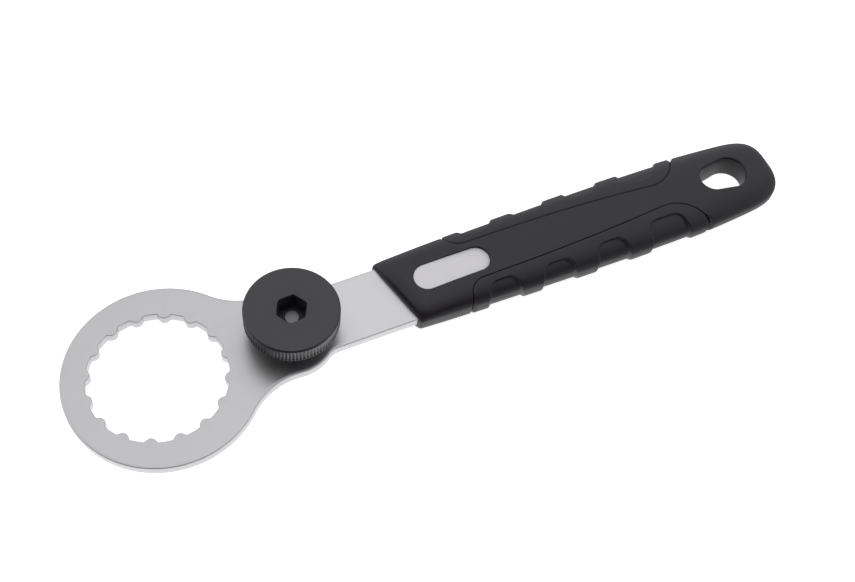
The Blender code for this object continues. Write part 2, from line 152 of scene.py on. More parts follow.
# Materials. Each has a look: its colours, its roughness at both ends of its grain, and real sizes.


def toLinear(hexText):
    # sRGB hex to linear light, with full alpha
    srgb = np.array([int(hexText[i : i + 2], 16) / 255 for i in (1, 3, 5)])
    linear = np.where(srgb <= 0.04045, srgb / 12.92, ((srgb + 0.055) / 1.055) ** 2.4)
    return (*linear, 1.0)


def addNode(tree, kind, inputs=None, **settings):
    # one node with its settings; an input is either a value or a socket to link from
    node = tree.nodes.new(kind)
    for field, value in settings.items():
        setattr(node, field, value)
    for socket, value in (inputs or {}).items():
        if isinstance(value, bpy.types.NodeSocket):
            tree.links.new(value, node.inputs[socket])
        else:
            node.inputs[socket].default_value = value
    return node


def newMaterial(name, **constants):
    # a Principled material, with its constant sockets set on the shader, and the place on the piece
    made = bpy.data.materials.new(name)
    made.use_nodes = True
    tree = made.node_tree
    shader = tree.nodes["Principled BSDF"]
    for socket, value in constants.items():
        shader.inputs[socket].default_value = value
    return made, tree, shader, addNode(tree, "ShaderNodeTexCoord").outputs["Object"]


def finishSurface(tree, shader, look, toneBy, grainBy, heightBy=None):
    # colour runs from dark to light, roughness from smoothest to roughest; relief is as deep as the bite
    tone = addNode(
        tree,
        "ShaderNodeMix",
        {"Factor": toneBy, 6: toLinear(look["dark"]), 7: toLinear(look["light"])},
        data_type="RGBA",
    )
    spread = addNode(
        tree, "ShaderNodeMapRange", {"Value": grainBy, 3: look["smoothest"], 4: look["roughest"]}
    )
    tree.links.new(tone.outputs[2], shader.inputs["Base Color"])
    tree.links.new(spread.outputs[0], shader.inputs["Roughness"])
    if heightBy is not None:
        relief = addNode(
            tree, "ShaderNodeBump", {"Height": heightBy, "Strength": 0.5, "Distance": look["bite"]}
        )
        tree.links.new(relief.outputs[0], shader.inputs["Normal"])


steelLook = dict(
    light="#CFCFD1",
    dark="#BEBEC0",
    smoothest=0.32,
    roughest=0.41,
    bite=0.012 * mm,
    grain=0.22 * mm,
    cloud=18 * mm,
    cloudShare=0.3,
    # where the painted light's rise from the darker ring to the paler shank begins and ends
    paintedLightFrom=22 * mm,
    paintedLightTo=70 * mm,
)


def makeSteel(ringX):
    # steel, bead blasted and satin chromed: a pale frosted grey with soft clouds, and painted light that
    # leaves it darker over the ring and paler along the shank
    made, tree, shader, place = newMaterial("satinChromedSteel", Metallic=1.0)
    cloud = addNode(
        tree, "ShaderNodeTexNoise", {"Vector": place, "Scale": 1 / steelLook["cloud"], "Detail": 2.0}
    )
    # painted light: the tone runs from darker over the ring to paler along the shank, standing in for light
    # that falls off towards the ring
    paintedLightAlong = addNode(
        tree,
        "ShaderNodeMapRange",
        {
            "Value": addNode(tree, "ShaderNodeSeparateXYZ", {0: place}).outputs["X"],
            1: ringX + steelLook["paintedLightFrom"],
            2: ringX + steelLook["paintedLightTo"],
        },
        interpolation_type="SMOOTHSTEP",
    )
    # the painted light gradient, mixed with random clouds of tone
    cloudAndPaintedLight = addNode(
        tree,
        "ShaderNodeMix",
        {"Factor": steelLook["cloudShare"], "A": paintedLightAlong.outputs[0], "B": cloud.outputs["Fac"]},
    )
    grain = addNode(
        tree, "ShaderNodeTexNoise", {"Vector": place, "Scale": 1 / steelLook["grain"], "Detail": 3.0}
    )
    finishSurface(tree, shader, steelLook, cloudAndPaintedLight.outputs[0], grain.outputs["Fac"], grain.outputs["Fac"])
    return made


hardLook = dict(
    light="#252129",
    dark="#1F1B25",
    smoothest=0.29,
    roughest=0.39,
    bite=0.010 * mm,
    grain=0.16 * mm,
    cloud=9 * mm,
)
softLook = dict(
    light="#252129",
    dark="#1E1A24",
    smoothest=0.32,
    roughest=0.42,
    bite=0.009 * mm,
    grain=0.13 * mm,
    cloud=9 * mm,
)
paleLook = dict(
    light="#EFEDF0",
    dark="#E9E7EA",
    smoothest=0.37,
    roughest=0.47,
    bite=0.004 * mm,
    grain=0.2 * mm,
    cloud=9 * mm,
)


def makePlastic(name, look):
    # a moulded plastic: two close tones in soft clouds, and the mould's fine grain, which dulls the shine
    made, tree, shader, place = newMaterial(name, IOR=1.45)
    cloud = addNode(
        tree, "ShaderNodeTexNoise", {"Vector": place, "Scale": 1 / look["cloud"], "Detail": 3.0}
    )
    grain = addNode(
        tree, "ShaderNodeTexNoise", {"Vector": place, "Scale": 1 / look["grain"], "Detail": 2.0}
    )
    finishSurface(tree, shader, look, cloud.outputs["Fac"], grain.outputs["Fac"], grain.outputs["Fac"])
    return made


keyLook = dict(
    light="#27222D",
    dark="#1C1822",
    smoothest=0.33,
    roughest=0.43,
    bite=0.004 * mm,
    grain=0.2 * mm,
    turnPitch=0.35 * mm,
    bandWidth=1.6 * mm,
)


def makeKeyAlloy(axisX):
    # aluminium bar turned on a lathe, then black anodised: matt, with faint rings round its axis
    made, tree, shader, place = newMaterial("blackAnodisedAluminium", IOR=1.62)
    centred = addNode(
        tree, "ShaderNodeMapping", {"Vector": place, "Location": (-axisX, 0, 0)}, vector_type="POINT"
    )
    flat = addNode(
        tree, "ShaderNodeVectorMath", {0: centred.outputs[0], 1: (1, 1, 0)}, operation="MULTIPLY"
    )
    length = addNode(tree, "ShaderNodeVectorMath", {0: flat.outputs[0]}, operation="LENGTH")
    radius = length.outputs["Value"]
    perLength = 2 * math.pi / keyLook["turnPitch"]
    turns = addNode(tree, "ShaderNodeMath", {0: radius, 1: perLength}, operation="MULTIPLY")
    rings = addNode(tree, "ShaderNodeMath", {0: turns.outputs[0]}, operation="SINE")
    bands = addNode(
        tree,
        "ShaderNodeTexNoise",
        {"W": radius, "Scale": 1 / keyLook["bandWidth"], "Detail": 2.0},
        noise_dimensions="1D",
    )
    grain = addNode(
        tree, "ShaderNodeTexNoise", {"Vector": place, "Scale": 1 / keyLook["grain"], "Detail": 2.0}
    )
    height = addNode(
        tree, "ShaderNodeMath", {0: rings.outputs[0], 1: grain.outputs["Fac"]}, operation="ADD"
    )
    finishSurface(tree, shader, keyLook, bands.outputs["Fac"], bands.outputs["Fac"], height.outputs[0])
    return made


magnetLook = dict(light="#858487", dark="#737275", smoothest=0.42, roughest=0.55, cloud=0.8 * mm)


def makeMagnetMetal():
    # sintered magnet, nickel plated: a dull grey metal, a little uneven
    made, tree, shader, place = newMaterial("nickelPlatedMagnet", Metallic=1.0)
    cloud = addNode(
        tree, "ShaderNodeTexNoise", {"Vector": place, "Scale": 1 / magnetLook["cloud"], "Detail": 2.0}
    )
    finishSurface(tree, shader, magnetLook, cloud.outputs["Fac"], cloud.outputs["Fac"])
    return made


# The drawing's zero is the ring's centre, half way through the plate, with +X along the handle.
blank = dict(
    thickness=3.7 * mm,
    notchCount=16,
    rootRadius=22.1 * mm,
    toothHeight=1.45 * mm,
    toothBase=4.4 * mm,
    toothBluntness=1.3,
    toothFullness=2.4,
    ringRadius=31.2 * mm,
    ringOffset=1.7 * mm,
    neckFillet=22 * mm,
    shankWidth=22.9 * mm,
    shankFillet=6 * mm,
    padX=43.4 * mm,
    padRadius=15.5 * mm,
    tangWidth=16 * mm,
    tangShoulder=94.9 * mm,
    tangFillet=1.6 * mm,
    tangEnd=188.1 * mm,
    rollWidth=0.9 * mm,
    rollTilt=math.radians(12),
    cornerRadius=0.26 * mm,
    innerRollWidth=0.5 * mm,
    innerCornerRadius=0.2 * mm,
    burrRadius=0.2 * mm,
    slotGap=0.08 * mm,
)
plateLow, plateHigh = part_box("wrench_plate")
ringX = plateLow.x + blank["ringRadius"] - blank["ringOffset"]
drawingZero = np.array((ringX, 0, (plateLow.z + plateHigh.z) / 2))


def blendFillet(centerA, radiusA, centerB, radiusB, fillet):
    # centre of the arc on the +Y side that touches two circles on the axis from outside
    reachA, reachB, apart = radiusA + fillet, radiusB + fillet, centerB - centerA
    paintedLightAlong = (reachA**2 - reachB**2 + apart**2) / (2 * apart)
    return centerA + paintedLightAlong, math.sqrt(reachA**2 - paintedLightAlong**2)


def blankOutline(grow=0.0):
    # tang, shank, pad, neck and ring as one chain of arcs, then the same chain mirrored about the axis
    b = blank
    halfShank, halfTang = b["shankWidth"] / 2 + grow, b["tangWidth"] / 2 + grow
    shoulder, tangEnd = b["tangShoulder"] + grow, b["tangEnd"] + grow
    neckX, neckY = blendFillet(b["ringOffset"], b["ringRadius"], b["padX"], b["padRadius"], b["neckFillet"])
    throatY = b["shankWidth"] / 2 + b["shankFillet"]
    throatX = b["padX"] + math.sqrt((b["padRadius"] + b["shankFillet"]) ** 2 - throatY**2)
    ringLeave = math.atan2(neckY, neckX - b["ringOffset"])
    padEnter = math.atan2(neckY, neckX - b["padX"])
    padLeave = math.atan2(throatY, throatX - b["padX"])
    inner, outer = b["tangFillet"] - grow, b["tangFillet"] + grow
    ring = arcPoints((b["ringOffset"], 0), b["ringRadius"] + grow, ringLeave, math.pi, math.radians(1.2))
    quarter = math.pi / 2
    upper = np.vstack(
        (
            arcPoints((tangEnd - halfTang, 0), halfTang, 0, quarter),
            arcPoints((shoulder + inner, halfTang + inner), inner, -quarter, -math.pi),
            arcPoints((shoulder - outer, halfShank - outer), outer, 0, quarter),
            arcPoints((throatX, throatY), b["shankFillet"] - grow, -quarter, padLeave - math.pi),
            arcPoints((b["padX"], 0), b["padRadius"] + grow, padLeave, padEnter)[1:-1],
            arcPoints((neckX, neckY), b["neckFillet"] - grow, padEnter - math.pi, ringLeave - math.pi),
            ring[1:],
        )
    )
    return np.vstack((upper, upper[-2:0:-1] * (1, -1)))


def edgeProfile(rollWidth, cornerRadius):
    # from the flat top to the flat underside: a shallow roll, a tight corner, the wall, the burr's round
    tilt, burr, thickness = blank["rollTilt"], blank["burrRadius"], blank["thickness"]
    rollRadius = rollWidth / math.sin(tilt)
    rolling = np.linspace(0, tilt, 6)
    turning = np.linspace(tilt, math.pi / 2, 9)[1:]
    closing = np.linspace(math.pi / 2, math.pi, 5)
    cornerStart = cornerRadius * (1 - math.sin(tilt))
    rollDrop = rollRadius * (1 - math.cos(tilt))
    inset = np.concatenate(
        (
            cornerStart + rollWidth - rollRadius * np.sin(rolling),
            cornerRadius * (1 - np.sin(turning)),
            burr * (1 - np.sin(closing)),
        )
    )
    depth = np.concatenate(
        (
            rollRadius * (1 - np.cos(rolling)),
            rollDrop + cornerRadius * (math.cos(tilt) - np.cos(turning)),
            thickness - burr - burr * np.cos(closing),
        )
    )
    return inset, depth


def notchRadius(angle):
    # the root circle, less a rounded tooth (1 - |u|^fullness)^bluntness about each multiple of the pitch
    pitch = 2 * math.pi / blank["notchCount"]
    halfBase = blank["toothBase"] / 2 / blank["rootRadius"]
    across = np.clip(((angle + pitch / 2) % pitch - pitch / 2) / halfBase, -1, 1)
    rise = (1 - np.abs(across) ** blank["toothFullness"]) ** blank["toothBluntness"]
    return blank["rootRadius"] - blank["toothHeight"] * rise


def makePlateSkin():
    # a grid round the ring's centre: the outline carries the outer edge's profile, the notches the inner's
    outline = blankOutline()
    outlineAngles = np.unwrap(np.arctan2(outline[:, 1], outline[:, 0]))
    # 48 even steps a notch, less those that an outline point already serves
    even = np.linspace(0, 2 * math.pi, 48 * blank["notchCount"], endpoint=False)
    nearest = np.abs(even[:, None] - outlineAngles[None]).min(axis=1)
    angles = np.sort(np.concatenate((outlineAngles, even[nearest > 2e-4])))
    outer = np.column_stack(
        [np.interp(angles, outlineAngles, outline[:, k], period=2 * math.pi) for k in (0, 1)]
    )
    radii = notchRadius(angles)
    inner = np.column_stack((radii * np.cos(angles), radii * np.sin(angles)))
    top = blank["thickness"] / 2
    outerEdge = np.column_stack(edgeProfile(blank["rollWidth"], blank["cornerRadius"]))[::-1]
    innerEdge = np.column_stack(edgeProfile(blank["innerRollWidth"], blank["innerCornerRadius"]))
    rows = [atHeight(offsetLoop(outer, -inset), top - depth) for inset, depth in outerEdge]
    rows += [atHeight(offsetLoop(inner, inset), top - depth) for inset, depth in innerEdge]
    points = np.stack(rows) + drawingZero
    return makePiece("plateSkin", points, gridFaces(len(rows), len(angles), True, True))


capKey = dict(
    x=44.5 * mm,
    stand=0.3 * mm,
    discRadius=15.3 * mm,
    discThickness=6.3 * mm,
    bossHeight=7.0 * mm,
    bossRadius=7.8 * mm,
    bossBevel=0.5 * mm,
    bossFillet=0.3 * mm,
    splineCount=8,
    splineDepth=0.7 * mm,
    bevel=0.45 * mm,
    bevelRound=0.06 * mm,
    rimWidth=0.62 * mm,
    knurlCount=84,
    knurlDepth=0.4 * mm,
    knurlRunIn=0.28 * mm,
    knurlPower=3,
    hexFlats=8.2 * mm,
    hexTurn=math.radians(3.4),
    hexFloor=7.0 * mm,
    leadIn=0.52 * mm,
    leadDepth=1.3 * mm,
    cornerShare=0.965,
    mouthBreak=0.12 * mm,
    boreRadius=2.5 * mm,
    magnetRadius=2.4 * mm,
    magnetDepth=5.2 * mm,
    magnetRound=0.25 * mm,
)


def makeCapSkin():
    # a profile turned round the key's axis, whose radius follows the splines, the knurl or the hexagon
    k = capKey
    angles = np.arange(k["knurlCount"] * 6) * 2 * math.pi / (k["knurlCount"] * 6)
    plain = np.ones_like(angles)
    spline = k["bossRadius"] - k["splineDepth"] * (0.5 - 0.5 * np.cos(k["splineCount"] * angles)) ** 0.8
    furrow = np.abs(np.sin(k["knurlCount"] * angles / 2)) ** k["knurlPower"]
    knurl = k["discRadius"] - k["knurlDepth"] * furrow
    sixth = math.pi / 3
    hexagon = k["hexFlats"] / 2 / np.cos(((angles - k["hexTurn"]) % sixth) - sixth / 2)
    bottom = blank["thickness"] / 2 + k["stand"]
    underside = bottom + k["bossHeight"]
    top = underside + k["discThickness"]
    # the bevel's two corners are each turned through 45 degrees by a small round
    eighth = np.linspace(0, math.pi / 4, 4)
    turn = k["bevelRound"]
    reach = k["bevel"] + turn * math.tan(math.pi / 8)
    cornerIn = np.concatenate((reach - turn * np.sin(eighth), turn * (1 - np.sin(eighth + math.pi / 4))))
    cornerOut = np.concatenate((turn * (1 - np.cos(eighth)), reach - turn * np.cos(eighth + math.pi / 4)))
    corner = np.column_stack((cornerIn, cornerOut))
    edge, fillet = k["bossBevel"], k["bossFillet"]
    rows = [
        (plain * k["boreRadius"], bottom),
        (spline - edge, bottom),
        (spline - edge * 0.24, bottom + edge * 0.3),
        (spline, bottom + edge),
        (spline, underside - fillet),
        (spline + fillet / 3, underside - fillet / 3),
        (spline + fillet, underside),
    ]
    rows += [(plain * (k["discRadius"] - inset), underside + drop) for inset, drop in corner]
    rows += [
        (plain * k["discRadius"], underside + k["rimWidth"]),
        (knurl, underside + k["rimWidth"] + k["knurlRunIn"]),
        (knurl, (underside + top) / 2),
        (knurl, top - k["rimWidth"] - k["knurlRunIn"]),
        (plain * k["discRadius"], top - k["rimWidth"]),
    ]
    rows += [(plain * (k["discRadius"] - inset), top - drop) for inset, drop in corner[::-1]]
    # the hexagon's mouth: a steep lead-in with softened corners, then straight flats down to the floor
    softened = np.minimum(hexagon, k["hexFlats"] / math.sqrt(3) * k["cornerShare"])
    mouth, broken = softened + k["leadIn"], k["mouthBreak"]
    rows += [
        (plain * (k["discRadius"] * 0.7), top),
        (mouth + broken, top),
        (mouth + broken / 4, top - broken / 4),
        (mouth, top - broken),
        (hexagon, top - k["leadDepth"]),
        (hexagon, top - k["hexFloor"]),
        (plain * k["boreRadius"], top - k["hexFloor"]),
    ]
    radii = np.stack([row[0] for row in rows])
    heights = np.broadcast_to(np.array([row[1] for row in rows])[:, None], radii.shape)
    points = np.stack((radii * np.cos(angles) + k["x"], radii * np.sin(angles), heights), axis=-1)
    faces = gridFaces(len(rows), len(angles), True, True)
    return makePiece("capKeySkin", points + drawingZero, faces)


def makeMagnetSkin():
    # a rod of 64 sides with a small round at both rims
    k = capKey
    bottom = blank["thickness"] / 2 + k["stand"]
    top = bottom + k["bossHeight"] + k["discThickness"] - k["magnetDepth"]
    rounding = np.linspace(0, math.pi / 2, 5)
    insets, drops = k["magnetRound"] * (1 - np.sin(rounding)), k["magnetRound"] * (1 - np.cos(rounding))
    radii = k["magnetRadius"] - np.concatenate((insets, insets[::-1]))
    heights = np.concatenate((bottom + drops, top - drops[::-1]))
    angles = np.arange(64) * 2 * math.pi / 64
    ring = np.column_stack((np.cos(angles), np.sin(angles)))
    loops = [atHeight(ring * r + (k["x"], 0), z) + drawingZero for r, z in zip(radii, heights)]
    return stackLoops("magnetSkin", loops)


handle = dict(
    mouthX=80.4 * mm,
    mouthSlant=math.radians(15.5),
    length=149.2 * mm,
    width=31.0 * mm,
    thickness=15.6 * mm,
    undersideFlat=0.3 * mm,
    mouthBack=0.42 * mm,
    mouthRound=1.1 * mm,
    mouthDrop=2.1 * mm,
    mouthSlope=4.6 * mm,
    tipBack=0.95 * mm,
    endRound=18.2 * mm,
    endPlanPower=3.95,
    endSidePower=8.0,
    # place along the handle, share of its half width, of its half height above and below, squareness
    sections=(
        (0.00, 0.844, 0.69, 0.720, 3.8),
        (0.10, 0.887, 0.87, 0.785, 3.4),
        (0.33, 0.953, 0.98, 0.857, 3.1),
        (0.60, 1.000, 1.00, 0.776, 3.0),
        (0.77, 0.985, 0.96, 0.672, 3.0),
        (1.00, 0.834, 0.880, 0.280, 3.5),
    ),
    pocketDepth=2.1 * mm,
    pocketGap=0.06 * mm,
)
grip = dict(
    front=22.8 * mm,
    frontFillet=6.0 * mm,
    lineFront=7.35 * mm,
    lineRear=4.55 * mm,
    lineBow=2.3,
    rearShare=0.6776,
    rearFillet=13.3 * mm,
    rearAngle=math.radians(54),
    proud=0.1 * mm,
    thickness=1.95 * mm,
    lip=0.28 * mm,
    sideLip=1.1 * mm,
    recessDepth=0.85 * mm,
    recessCorner=3.8 * mm,
    recessFlare=2.4 * mm,
    recessEdge=0.8 * mm,
    recessSideEdge=1.2 * mm,
    recessShear=0.025 / mm,
    leanFrom=5.5 * mm,
    leanDepth=8.5 * mm,
    farShift=1.6 * mm,
    farDrift=1.75 * mm,
    driftFrom=0.23,
    recessRow=10.2 * mm,
    shoulder=11 * mm,
    shoulderWidth=3 * mm,
    lipTurn=12 * mm,
    lipTurnWidth=2.5 * mm,
    overhang=4 * mm,
    # middle and width of each recess, as shares of the handle's length, and how near the axis it comes
    recesses=(
        (0.2312, 0.0737, 10.1 * mm),
        (0.3676, 0.0767, 10.75 * mm),
        (0.5074, 0.0764, 10.1 * mm),
        (0.6602, 0.0952, 8.6 * mm),
    ),
)


def handleSizes(x):
    # half width, reach above and below the axis, squareness: a cubic through the sections, closed at the tip
    table = np.array(handle["sections"])
    places, values = table[:, 0], table[:, 1:]
    slopes = np.gradient(values, places, axis=0)
    paintedLightAlong = np.clip((x - handle["mouthX"]) / handle["length"], 0, 1)
    index = np.clip(np.searchsorted(places, paintedLightAlong) - 1, 0, len(places) - 2)
    span = (places[index + 1] - places[index])[..., None]
    t = (paintedLightAlong - places[index])[..., None] / span
    shares = (
        (2 * t**3 - 3 * t**2 + 1) * values[index]
        + (t**3 - 2 * t**2 + t) * span * slopes[index]
        + (3 * t**2 - 2 * t**3) * values[index + 1]
        + (t**3 - t**2) * span * slopes[index + 1]
    )
    beforeTip = handle["mouthX"] + handle["length"] - handle["tipBack"] - x
    intoEnd = np.clip(1 - beforeTip / handle["endRound"], 0, 1)
    planPower, sidePower = handle["endPlanPower"], handle["endSidePower"]
    plan = np.maximum(1e-9, 1 - intoEnd**planPower) ** (1 / planPower)
    side = np.maximum(1e-9, 1 - intoEnd**sidePower) ** (1 / sidePower)
    reach = handle["thickness"] / 2 * side
    # the upper face falls to the mouth in a quarter ellipse
    toMouth = np.clip(1 - (x - handle["mouthX"] - handle["mouthBack"]) / handle["mouthSlope"], 0, 1)
    upper = reach * shares[..., 1] - handle["mouthDrop"] * (1 - np.sqrt(1 - toMouth**2))
    return handle["width"] / 2 * shares[..., 0] * plan, upper, reach * shares[..., 2], shares[..., 3]


def mouthFade(x):
    # how much of the mouth's slant is left at x
    return np.clip(1 - (x - handle["mouthX"]) / grip["front"], 0, None) ** 2


def handlePoint(x, angle, inset):
    # a rounded rectangle: its reaches less the inset, times powers of the angle's cosine and sine, and a
    # flat cut across its lowest part
    halfWidth, upper, lower, squareness = handleSizes(x)
    power = 2 / squareness
    cosine, sine = np.cos(angle), np.sin(angle)
    y = (halfWidth - inset) * np.sign(cosine) * np.abs(cosine) ** power
    z = (np.where(sine > 0, upper, lower) - inset) * np.sign(sine) * np.abs(sine) ** power
    z = np.maximum(z, handle["undersideFlat"] + inset - lower)
    shifted = x - math.tan(handle["mouthSlant"]) * mouthFade(x) * y
    return np.stack(np.broadcast_arrays(shifted, y, z), axis=-1)


def angleOfY(x, y):
    # the section angle, from 90 degrees at the crown to 0 at the side, whose point is y from the axis
    halfWidth, _, _, squareness = handleSizes(x)
    return np.arccos(np.clip(y / halfWidth, 0, 1) ** (squareness / 2))


def surfaceHeight(x, y, face=1):
    # distance from the axis to the upper face, or with face -1 to the lower one, over a point of the plan
    row = x + math.tan(handle["mouthSlant"]) * mouthFade(x) * y
    halfWidth, upper, lower, squareness = handleSizes(row)
    cloudAndPaintedLight = (1 - np.clip(np.abs(y) / halfWidth, 0, 1) ** squareness) ** (1 / squareness)
    return upper * cloudAndPaintedLight if face > 0 else np.minimum(lower * cloudAndPaintedLight, lower - handle["undersideFlat"])


def gripCorners(grow):
    # fillet centres and the three points where the grip's inner line changes from arc to line
    front = handle["mouthX"] + grip["front"] - grow
    rear = handle["mouthX"] + grip["rearShare"] * handle["length"]
    frontFillet, rearFillet = grip["frontFillet"] + grow, grip["rearFillet"] + grow
    lean = math.atan2(grip["lineBow"] * (grip["lineRear"] - grip["lineFront"]), rear - front - frontFillet)
    frontCenter = (front + frontFillet, grip["lineFront"] - grow + frontFillet)
    rearCenter = (rear, grip["lineRear"] - grow + rearFillet)
    return front, frontFillet, rearFillet, lean, frontCenter, rearCenter


def gripLine(x, grow=0.0):
    # distance of the grip's inner edge from the axis: fillet, a line that bends inwards, fillet, a line out
    front, frontFillet, rearFillet, lean, frontCenter, rearCenter = gripCorners(grow)
    firstX, firstY = frontCenter[0], frontCenter[1] - frontFillet
    secondX = rearCenter[0] + rearFillet * math.sin(lean)
    secondY = rearCenter[1] - rearFillet * math.cos(lean)
    between = np.clip((x - firstX) / (secondX - firstX), 0, 1) ** grip["lineBow"]
    thirdX = rearCenter[0] + rearFillet * math.sin(grip["rearAngle"])
    thirdY = rearCenter[1] - rearFillet * math.cos(grip["rearAngle"])
    frontArc = frontCenter[1] - np.sqrt(np.clip(frontFillet**2 - (x - frontCenter[0]) ** 2, 0, None))
    rearArc = rearCenter[1] - np.sqrt(np.clip(rearFillet**2 - (x - rearCenter[0]) ** 2, 0, None))
    return np.select(
        (x < front, x < firstX, x < secondX, x < thirdX),
        (frontCenter[1], frontArc, firstY + (secondY - firstY) * between, rearArc),
        thirdY + (x - thirdX) * math.tan(grip["rearAngle"]),
    )


def gripLoop(grow=0.0):
    # the grip's whole outline in plan, carried past the handle's side
    front, frontFillet, rearFillet, lean, frontCenter, rearCenter = gripCorners(grow)
    far = handle["width"] / 2 + grip["overhang"]
    turn = 1.5 * math.pi
    lineX = np.linspace(frontCenter[0], rearCenter[0] + rearFillet * math.sin(lean), 40)[1:-1]
    arcs = np.vstack(
        (
            arcPoints(frontCenter, frontFillet, math.pi, turn, math.radians(5)),
            np.column_stack((lineX, gripLine(lineX, grow))),
            arcPoints(rearCenter, rearFillet, turn + lean, turn + grip["rearAngle"], math.radians(4)),
        )
    )
    cornerX = arcs[-1][0] + (far - arcs[-1][1]) / math.tan(grip["rearAngle"])
    return np.vstack((arcs, [(cornerX, far), (front, far)]))


def recessLoop(center, width, inner):
    # a finger recess in plan: open to the side, with round inner corners and sides that flare
    left, right = (handle["mouthX"] + handle["length"] * (center + half * width) for half in (-0.5, 0.5))
    corner, far = grip["recessCorner"], handle["width"] / 2 + grip["overhang"]
    cornerY = inner + corner
    return np.vstack(
        (
            arcPoints((left + corner, cornerY), corner, math.pi, 1.5 * math.pi, math.radians(6)),
            arcPoints((right - corner, cornerY), corner, 1.5 * math.pi, 2 * math.pi, math.radians(6)),
            [(right + grip["recessFlare"], far), (left + grip["recessFlare"] / 2, far)],
        )
    )


def gripEnd(grow=0.0):
    # where the grip's rear line reaches the handle's side, to the nearest of 4000 places
    x = handle["mouthX"] + handle["length"] * np.linspace(grip["rearShare"], 1, 4000)
    return x[np.argmax(gripLine(x, grow) > handleSizes(x)[0] * 0.995)]


def lipWidth(y):
    # the parting line's rounding: narrow on the face, and wide where the hand closes round the side
    sideways = np.clip((np.abs(y) - grip["lipTurn"]) / grip["lipTurnWidth"], 0, 1)
    return grip["lip"] + (grip["sideLip"] - grip["lip"]) * sideways


def spaced(values, least):
    # sorted stations with no two nearer than the least spacing
    values = np.sort(values)
    keep = np.concatenate(([True], np.diff(values) > least))
    return values[keep]


def makeBodyShell():
    # rows along x, columns round the section; both crowd along the grip's line so that its lip is crisp
    h, gap = handle, handle["pocketGap"]
    mouth, end = h["mouthX"] + h["mouthBack"], h["mouthX"] + h["length"] - h["tipBack"]
    front, frontFillet = gripCorners(gap)[:2]
    rear = h["mouthX"] + grip["rearShare"] * h["length"]
    rearEnd = gripEnd(gap)
    bodyEnd = end - h["endRound"]
    fromMouth = mouth + h["mouthRound"]
    beforeFront = (-0.95, -0.8, -0.65, -0.52, -0.4, -0.3, -0.2, -0.12, -0.06, -0.02)
    atFront = np.array((*beforeFront, 0, 0.05, 0.12)) * mm
    pastRear = np.array((0.15, 0.3, 0.5, 0.8, 1.2)) * mm
    rows = np.concatenate(
        (
            fromMouth + (front - 1.1 * mm - fromMouth) * np.linspace(0, 1, 36) ** 1.5,
            front + atFront,
            front + frontFillet * (1 - np.cos(np.linspace(0, math.pi / 2, 16))),
            np.linspace(front + frontFillet, rear, 96),
            np.linspace(rear, rearEnd, 56),
            rearEnd + pastRear,
            np.linspace(rearEnd + 1.6 * mm, bodyEnd, 18),
            bodyEnd + h["endRound"] * (1 - np.linspace(1, 0.05, 30) ** h["endPlanPower"]),
        )
    )
    rows = spaced(rows, 0.015 * mm)
    rounding = np.linspace(0, math.pi / 2, 7)[:-1]
    stations = np.concatenate((mouth + h["mouthRound"] * (1 - np.sin(math.pi / 2 - rounding)), rows))
    insets = np.concatenate((h["mouthRound"] * (1 - np.sin(rounding)), np.zeros(len(rows))))
    x = stations[:, None]
    halfWidth = handleSizes(x)[0]
    edge = np.minimum(gripLine(x, gap), halfWidth * 0.93)
    before = np.array((-1.6, -1.0, -0.7, -0.5, -0.34, -0.24, -0.17, -0.11, -0.06, -0.02)) * mm
    after = np.array((0.02, 0.06, 0.12, 0.25)) * mm
    nearby = np.concatenate((before, after)) * np.minimum(1, halfWidth / (12 * mm))
    middle = np.linspace(0, 1, 17)[:-1] * (edge + nearby[:, :1])
    upTo = angleOfY(x, np.concatenate((middle, edge + nearby), axis=1))
    toSide = upTo[:, -1:] * np.linspace(1, 0, 15)[1:] ** 1.5
    # the quarter from crown to side, mirrored to the other three
    quarter = np.concatenate((upTo, toSide), axis=1)
    otherSide = (quarter[:, 1:] - math.pi, math.pi - quarter[:, -2:0:-1])
    angle = np.concatenate((quarter, -quarter[:, -2::-1], *otherSide), axis=1)
    plan = handlePoint(x, angle, 0.0)
    flat = np.stack((plan[..., 0], np.abs(plan[..., 1])), axis=-1).reshape(-1, 2)
    into = insideDistance(flat, gripLoop(gap)).reshape(angle.shape)
    lip = lipWidth(plan[..., 1])
    onLip = np.clip((into + lip) / lip, 0, 1)
    sink = lip * onLip**1.3 + (h["pocketDepth"] - lip) * np.clip(into / (0.1 * mm), 0, 1)
    points = handlePoint(x, angle, sink + insets[:, None])
    count = angle.shape[1]
    caps = (range(count), range((len(stations) - 1) * count, len(stations) * count))
    faces = gridFaces(len(stations), count, closeColumns=True)
    return makePiece("handleShell", points + drawingZero, faces, caps)


hangingHole = dict(
    fromEnd=17.8 * mm,
    bigRadius=6.2 * mm,
    smallRadius=5.1 * mm,
    spread=6.9 * mm,
    rim=0.7 * mm,
    lean=0.8 * mm,
)


def holeLoop(grow=0.0):
    # a teardrop: two circles and their common tangents
    h = hangingHole
    bigX = handle["mouthX"] + handle["length"] - h["fromEnd"]
    touch = math.acos((h["bigRadius"] - h["smallRadius"]) / h["spread"])
    big = arcPoints((bigX, 0), h["bigRadius"] + grow, touch - math.pi, math.pi - touch)
    small = arcPoints((bigX - h["spread"], 0), h["smallRadius"] + grow, math.pi - touch, math.pi + touch)
    return np.vstack((big, small))


